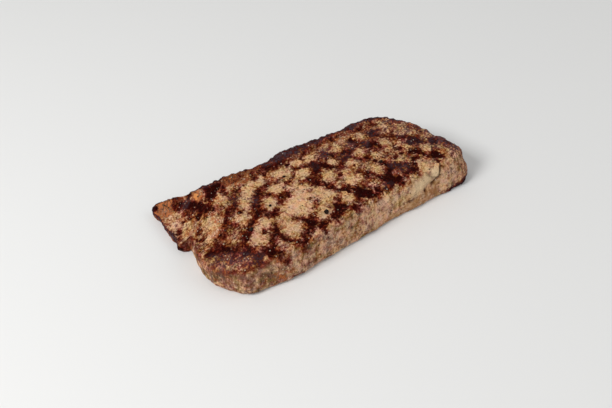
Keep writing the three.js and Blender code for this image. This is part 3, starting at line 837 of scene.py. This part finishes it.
def mottleGroup():
    # fine grain, upright streaks, blotches, two tint noises, and three layers of round dots, the last of them
    # painted glints, from one vector
    g = grainSizes
    group = bpy.data.node_groups.new("meatMottle", "ShaderNodeTree")
    sockets = group.interface
    sockets.new_socket("Vector", in_out="INPUT", socket_type="NodeSocketVector")
    for name in ("Grain", "Streak", "Blotch", "Redness", "Rust", "Stipple", "Pepper", "PaintedGlint"):
        sockets.new_socket(name, in_out="OUTPUT", socket_type="NodeSocketFloat")
    enter = node(group, "NodeGroupInput")
    leave = node(group, "NodeGroupOutput")
    vector = enter.outputs["Vector"]
    group.links.new(noiseNode(group, vector, *g["grain"]), leave.inputs["Grain"])
    squeeze = node(group, "ShaderNodeMapping")
    squeeze.inputs["Scale"].default_value = (1, 1, g["streakStretch"])
    group.links.new(vector, squeeze.inputs["Vector"])
    group.links.new(noiseNode(group, squeeze.outputs["Vector"], *g["streak"]), leave.inputs["Streak"])
    group.links.new(noiseNode(group, vector, *g["blotch"]), leave.inputs["Blotch"])
    for name, key in (("Redness", "redness"), ("Rust", "rust")):
        moved = node(group, "ShaderNodeVectorMath", operation="ADD")
        moved.inputs[1].default_value = (g[key + "Offset"],) * 3
        group.links.new(vector, moved.inputs[0])
        group.links.new(noiseNode(group, moved.outputs[0], *g[key]), leave.inputs[name])
    for name, key in (("Stipple", "stipple"), ("Pepper", "pepper"), ("PaintedGlint", "paintedGlint")):
        group.links.new(dotLayer(group, vector, *g[key]), leave.inputs[name])
    return group


steakLooks = {
    "searRamp": [  # from light meat to black, as a share and the colour seen there
        (0.00, "dbae88"), (0.12, "c49570"), (0.24, "a77556"), (0.38, "88523a"),
        (0.54, "6c3120"), (0.72, "52190b"), (0.92, "340602"), (1.00, "260301"),
    ],
    "wallRamp": [  # the same for the sides, which are greyer
        (0.00, "dfb38d"), (0.12, "c59875"), (0.24, "a5785c"), (0.38, "84573e"),
        (0.54, "5b3c27"), (0.70, "3a2211"), (0.90, "201008"),
    ],
    "topBase": 0.08,  # how far along its ramp the bare top lies
    "topBlotches": 0.19,  # and how far the noises move it
    "topTones": 0.25,
    # the sides lie further along the ramp than the top: painted shade of sides turned from the light above
    "wallBaseShaded": 0.19,  # the same for the sides
    "wallStreaks": 1.1,
    "wallBlotches": 0.9,
    "wallGrain": 0.10,
    "wallTones": 0.45,
    "coolTint": (1.00, 0.99, 1.02, 1),  # bare meat varies from pink
    "warmTint": (0.98, 1.02, 0.91, 1),  # to yellow
    "bareTints": 0.9,  # strength of both
    "greyTint": (0.84, 1.24, 1.24, 1),  # the charred parts vary from grey
    "redTint": (1.14, 0.76, 0.76, 1),  # to red
    "plumTint": (0.93, 0.96, 1.50, 1),  # and from plum
    "rustTint": (1.05, 1.05, 0.50, 1),  # to rust
    "paleLobe": "e2c49c",
    "crispFat": "bb6e40",
    "darkFat": "40170b",
    "brightFat": "cf8445",
    "strip": "9c6c42",
    "nose": "74503f",
    # the purplish grey of the painted sheen, which also tints the crust
    "coolChar": "57444a",
    "pepper": "2a1009",
    "split": "3a1c12",
    # the colour of the painted glints, light dots that stand in for highlights
    "paintedGlint": "ecd8bc",
    "roughest": 0.36,  # added to the smoothest by the grain
    "smoothest": 0.42,
    "specular": 0.03,
    "bumpDepth": 0.0012,
}


def colourRamp(tree, value, stops):
    # straight steps between the colours at the given shares
    made = node(tree, "ShaderNodeValToRGB")
    made.color_ramp.interpolation = "LINEAR"
    while len(made.color_ramp.elements) < len(stops):
        made.color_ramp.elements.new(0.5)
    for element, (share, colour) in zip(made.color_ramp.elements, stops):
        element.position = share
        element.color = hexColour(colour)
    tree.links.new(value, made.inputs["Fac"])
    return made.outputs["Color"]


def mottledMaterial(name, mottle):
    # a new material, its tree and its shader, and the mottle read at the piece's own coordinates
    made = bpy.data.materials.new(name)
    made.use_nodes = True
    tree = made.node_tree
    group = node(tree, "ShaderNodeGroup", node_tree=mottle)
    tree.links.new(node(tree, "ShaderNodeTexCoord").outputs["Object"], group.inputs["Vector"])
    return made, tree, tree.nodes["Principled BSDF"], group.outputs


def steakMaterial(mottle):
    # Every tone is one level on a ramp from light meat to black: the base tone of the top or the side, or the
    # sear where that is more; the sides' base lies darker, partly as painted shade.
    # Tints, fat, the split, a painted sheen and the dots, among them painted glints, are laid over it.
    looks = steakLooks
    made, tree, shader, mottled = mottledMaterial("grilledMeat", mottle)
    grain, streak, blotch = (mottled[name] for name in ("Grain", "Streak", "Blotch"))
    redness, rust = mottled["Redness"], mottled["Rust"]
    stipple, pepper, paintedGlint = (mottled[name] for name in ("Stipple", "Pepper", "PaintedGlint"))
    names = ("sear", "ember", "cool", "wall", "pale", "split", "strip", "nose", "tone", "hue")
    sear, ember, cool, wall, pale, split, strip, nose, tone, hue = (attribute(tree, name) for name in names)

    def times(a, b):
        return mathNode(tree, "MULTIPLY", a, b)

    def plus(a, b):
        return mathNode(tree, "ADD", a, b)

    def inverse(a):
        return mathNode(tree, "SUBTRACT", 1.0, a)

    def larger(a, b):
        return mathNode(tree, "MAXIMUM", a, b)

    def centred(value):
        return plus(value, -0.5)

    def shade(share, under, name):
        return mixColour(tree, share, under, hexColour(looks[name]))

    # the level on the ramp; the grain shifts every edge, so that the tones break into each other
    fineGrain = centred(ramp(tree, grain, 0.32, 0.68))
    blotches = centred(ramp(tree, blotch, 0.34, 0.66))
    topShift = plus(times(blotches, looks["topBlotches"]), times(centred(tone), looks["topTones"]))
    topTone = plus(looks["topBase"], topShift)
    # the sides' base level lies darker than the top's as painted shade of sides turned from the light above;
    # their ramp is greyer as the cut meat is
    wallShift = plus(times(centred(blotch), looks["wallBlotches"]), times(fineGrain, looks["wallGrain"]))
    wallShift = plus(times(centred(streak), looks["wallStreaks"]), wallShift)
    wallTone = plus(plus(looks["wallBaseShaded"], wallShift), times(centred(tone), looks["wallTones"]))
    baseTone = plus(times(topTone, inverse(wall)), times(wallTone, wall))
    ragged = plus(times(fineGrain, 0.30), times(blotches, 0.22))
    seared = plus(sear, times(ragged, ramp(tree, sear, 0.0, 0.3)))
    level = larger(plus(baseTone, times(sear, 0.5)), seared)
    level = plus(level, times(fineGrain, plus(0.36, times(wall, -0.18))))
    level = plus(level, times(times(stipple, 0.22), larger(ramp(tree, sear, 0.0, 0.25), 0.45)))

    sideShare = times(wall, inverse(ramp(tree, sear, 0.05, 0.35)))
    topColour = colourRamp(tree, level, looks["searRamp"])
    sideColour = colourRamp(tree, level, looks["wallRamp"])
    colour = mixColour(tree, sideShare, topColour, sideColour)

    # tints that leave the mean as it is: pink and yellow everywhere, more colours where it is dark
    hueNoise = plus(times(hue, 0.5), times(blotch, 0.5))
    tint = mixColour(tree, ramp(tree, hueNoise, 0.38, 0.62), looks["coolTint"], looks["warmTint"])
    colour = mixColour(tree, looks["bareTints"], colour, tint, "MULTIPLY")
    darkShare = plus(0.26, times(ramp(tree, level, 0.12, 0.45), 0.68))
    for value, low, high in ((redness, "greyTint", "redTint"), (rust, "plumTint", "rustTint")):
        tint = mixColour(tree, ramp(tree, value, 0.36, 0.64), looks[low], looks[high])
        colour = mixColour(tree, darkShare, colour, tint, "MULTIPLY")

    # the front's parts, where they aren't seared
    bare = inverse(ramp(tree, sear, 0.1, 0.5))
    stripShare = times(strip, plus(0.3, times(ramp(tree, blotch, 0.36, 0.6), 0.5)))
    noseShare = times(nose, ramp(tree, blotch, 0.26, 0.78))
    colour = shade(times(times(pale, 0.95), bare), colour, "paleLobe")
    colour = shade(times(stripShare, bare), colour, "strip")
    colour = shade(times(noseShare, times(bare, 0.75)), colour, "nose")

    # crisped fat, from dark to orange by the blotches
    fatShare = ramp(tree, plus(ember, times(ragged, 1.5)), 0.15, 0.7)
    fatNoise = plus(times(centred(blotch), 0.8), times(fineGrain, 0.5))
    fat = shade(ramp(tree, fatNoise, -0.14, 0.14), hexColour(looks["darkFat"]), "crispFat")
    fat = shade(ramp(tree, ember, 1.0, 1.4), fat, "brightFat")
    notBurnt = inverse(ramp(tree, seared, 0.45, 0.65))
    colour = mixColour(tree, times(times(fatShare, 0.85), notBurnt), colour, fat)

    # painted sheen: a purplish grey reflection painted over the crust, which also tints it
    colour = shade(times(times(cool, ramp(tree, grain, 0.40, 0.62)), 0.6), colour, "coolChar")
    colour = shade(times(pepper, 0.9), colour, "pepper")
    colour = shade(times(split, 0.85), colour, "split")
    # painted glints: light dots that stand in for small highlights, fewer where it is seared
    lit = mathNode(tree, "SUBTRACT", 1.0, times(seared, 0.3), clamp=True)
    colour = shade(times(times(paintedGlint, 0.55), lit), colour, "paintedGlint")
    tree.links.new(colour, shader.inputs["Base Color"])

    tree.links.new(plus(looks["smoothest"], times(grain, looks["roughest"])), shader.inputs["Roughness"])
    shader.inputs["Specular IOR Level"].default_value = looks["specular"]
    bump = node(tree, "ShaderNodeBump")
    bump.inputs["Strength"].default_value = 1.0
    bump.inputs["Distance"].default_value = looks["bumpDepth"]
    height = mathNode(tree, "SUBTRACT", plus(grain, times(blotch, 0.8)), times(stipple, 0.2))
    tree.links.new(height, bump.inputs["Height"])
    tree.links.new(bump.outputs["Normal"], shader.inputs["Normal"])
    return made


# cracked peppercorns, as x, y and radius, and the number and size of the fine flecks
pepper = {
    "grains": [(-10, -30.5, 2.3), (-54.4, -18.9, 1.5), (41, -11, 1.3), (-17, 8.6, 1.2), (-36, -8, 1.1)],
    "flecks": 620,
    "fleckRadius": (0.18, 0.45),
    "grainSink": 0.3,  # how far the middles stand above the surface, as a share of the radius
    "fleckSink": 0.2,
    "sideRings": 12,  # flecks lie on the top and this far down the sides
    "wobble": (0.75, 1.15),
    "stretch": (0.6, 1.1),
    "seed": 5,
    "colour": "120c0a",
    "paler": "2c1c14",
    "roughness": 0.5,
    "specular": 0.1,
}


def icosahedron():
    # corners at plus and minus one and the golden ratio, brought to radius 1, and the twenty triangles
    g = (1 + 5 ** 0.5) / 2
    corners = np.array([
        (-1, g, 0), (1, g, 0), (-1, -g, 0), (1, -g, 0), (0, -1, g), (0, 1, g),
        (0, -1, -g), (0, 1, -g), (g, 0, -1), (g, 0, 1), (-g, 0, -1), (-g, 0, 1),
    ]) / (1 + g * g) ** 0.5
    faces = np.array([
        (0, 11, 5), (0, 5, 1), (0, 1, 7), (0, 7, 10), (0, 10, 11), (1, 5, 9), (5, 11, 4), (11, 10, 2),
        (10, 7, 6), (7, 1, 8), (3, 9, 4), (3, 4, 2), (3, 2, 6), (3, 6, 8), (3, 8, 9), (4, 9, 5),
        (2, 4, 11), (6, 2, 10), (8, 6, 7), (9, 8, 1),
    ])
    return corners, faces


def makePepper(points, normals, shift):
    # squashed twenty-sided bits, each turned by a random quaternion and pressed into the surface
    p = pepper
    random = np.random.default_rng(p["seed"])
    rings = steakForm["ringsTop"] + 1 + p["sideRings"]
    top = points[:rings].reshape(-1, 3)
    facing = normals[:rings].reshape(-1, 3)
    grains = np.array(p["grains"])
    big = [np.argmin(np.hypot(top[:, 0] - x + shift[0], top[:, 1] - y + shift[1])) for x, y, r in grains]
    pick = np.concatenate([big, random.integers(0, len(top), p["flecks"])])
    radius = np.concatenate([grains[:, 2], random.uniform(*p["fleckRadius"], p["flecks"])])
    corners, faces = icosahedron()
    count = len(pick)
    wobble = random.uniform(*p["wobble"], (count, len(corners), 1))
    stretch = random.uniform(*p["stretch"], (count, 1, 3))
    turns = random.normal(size=(count, 4))
    turns /= np.linalg.norm(turns, axis=1)[:, None]
    w, i, j, k = turns.T
    spin = np.array([
        [1 - 2 * (j * j + k * k), 2 * (i * j - k * w), 2 * (i * k + j * w)],
        [2 * (i * j + k * w), 1 - 2 * (i * i + k * k), 2 * (j * k - i * w)],
        [2 * (i * k - j * w), 2 * (j * k + i * w), 1 - 2 * (i * i + j * j)],
    ]).transpose(2, 0, 1)
    bits = np.einsum("nab,ncb->nca", spin, corners[None] * wobble * stretch) * radius[:, None, None]
    sink = np.where(np.arange(count) < len(grains), p["grainSink"], p["fleckSink"])[:, None]
    bits = bits + (top[pick] + facing[pick] * radius[:, None] * sink)[:, None]
    allFaces = (faces[None] + len(corners) * np.arange(count)[:, None, None]).reshape(-1, 3)
    return addPiece("pepper", bits.reshape(-1, 3), allFaces)


def pepperMaterial(mottle):
    # black to dark brown, by the fine grain
    made, tree, shader, mottled = mottledMaterial("blackPepper", mottle)
    share = ramp(tree, mottled["Grain"], 0.4, 0.7)
    colour = mixColour(tree, share, hexColour(pepper["colour"]), hexColour(pepper["paler"]))
    tree.links.new(colour, shader.inputs["Base Color"])
    shader.inputs["Roughness"].default_value = pepper["roughness"]
    shader.inputs["Specular IOR Level"].default_value = pepper["specular"]
    return made


studio = {
    "azimuth": -27.96,  # the photograph's viewing angle
    "elevation": 45.58,
    "roll": 2.92,
    "distance": 0.5707,
    "aim": (-0.0056, 0.0034, 0.0),  # in the solid's own coordinates before centring
    "focalPixels": 900,
    "imageWidth": 612,
    "sensor": 36.0,
    "ambient": 0.47,
    "keyPlace": (-0.9, -0.1, 0.9),
    "keySize": 0.45,
    "keyPower": 12.0,
    "fillPlace": (0.8, -0.6, 0.7),
    "fillSize": 0.9,
    "fillPower": 2.5,
    "floorHalf": 3000.0,  # mm
    "floorColour": (0.74, 0.74, 0.73, 1),
    "floorRoughness": 0.8,
}


def makeFloor():
    # one square on the ground
    corners = studio["floorHalf"] * np.array([(-1, -1, 0), (1, -1, 0), (1, 1, 0), (-1, 1, 0)])
    floor = addPiece("floor", corners, np.array([(0, 1, 2, 3)]))
    made = bpy.data.materials.new("paleFloor")
    made.use_nodes = True
    shader = made.node_tree.nodes["Principled BSDF"]
    shader.inputs["Base Color"].default_value = studio["floorColour"]
    shader.inputs["Roughness"].default_value = studio["floorRoughness"]
    floor.data.materials.append(made)


def makeCamera(shift):
    # a frame of three axes from azimuth and elevation, rolled about the line of sight
    s = studio
    turn, lift, roll = radians(s["azimuth"]), radians(s["elevation"]), radians(s["roll"])
    back = Vector((sin(turn) * cos(lift), -cos(turn) * cos(lift), sin(lift)))
    right = Vector((cos(turn), sin(turn), 0))
    up = back.cross(right)
    rolledRight = cos(roll) * right - sin(roll) * up
    rolledUp = sin(roll) * right + cos(roll) * up
    data = bpy.data.cameras.new("camera")
    data.sensor_width = s["sensor"]
    data.lens = s["focalPixels"] / s["imageWidth"] * s["sensor"]
    camera = bpy.data.objects.new("camera", data)
    bpy.context.collection.objects.link(camera)
    aim = Vector(s["aim"]) - Vector((shift[0], shift[1], 0)) * mm
    matrix = Matrix((rolledRight, rolledUp, back)).transposed().to_4x4()
    matrix.translation = aim + back * s["distance"]
    camera.matrix_world = matrix
    bpy.context.scene.camera = camera


def areaLight(name, place, size, power):
    # a square lamp that faces the steak
    data = bpy.data.lights.new(name, "AREA")
    data.size = size
    data.energy = power
    light = bpy.data.objects.new(name, data)
    light.location = place
    light.rotation_euler = (Vector((0, 0, 0)) - Vector(place)).to_track_quat("-Z", "Y").to_euler()
    bpy.context.collection.objects.link(light)


def makeLights():
    # a white room, a key from the left and a weak fill from the right
    s = studio
    world = bpy.data.worlds.new("softRoom")
    world.use_nodes = True
    background = world.node_tree.nodes["Background"]
    background.inputs["Color"].default_value = (1, 1, 1, 1)
    background.inputs["Strength"].default_value = s["ambient"]
    bpy.context.scene.world = world
    areaLight("key", s["keyPlace"], s["keySize"], s["keyPower"])
    areaLight("fill", s["fillPlace"], s["fillSize"], s["fillPower"])
    bpy.context.scene.view_settings.view_transform = "Standard"


mottle = mottleGroup()
steak, points, normals, shift = makeSteak()
steak.data.materials.append(steakMaterial(mottle))
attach(steak, "root")
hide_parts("steak")
print("steak surface:", len(steak.data.polygons), "faces")

pepperPiece = makePepper(points, normals, shift)
pepperPiece.data.materials.append(pepperMaterial(mottle))
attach(pepperPiece, "root")
print("pepper:", len(pepperPiece.data.polygons), "faces")

makeFloor()
makeLights()
makeCamera(shift)
print("studio: floor, lights and camera, with the solid's coordinates shifted by", shift.round(3), "mm")
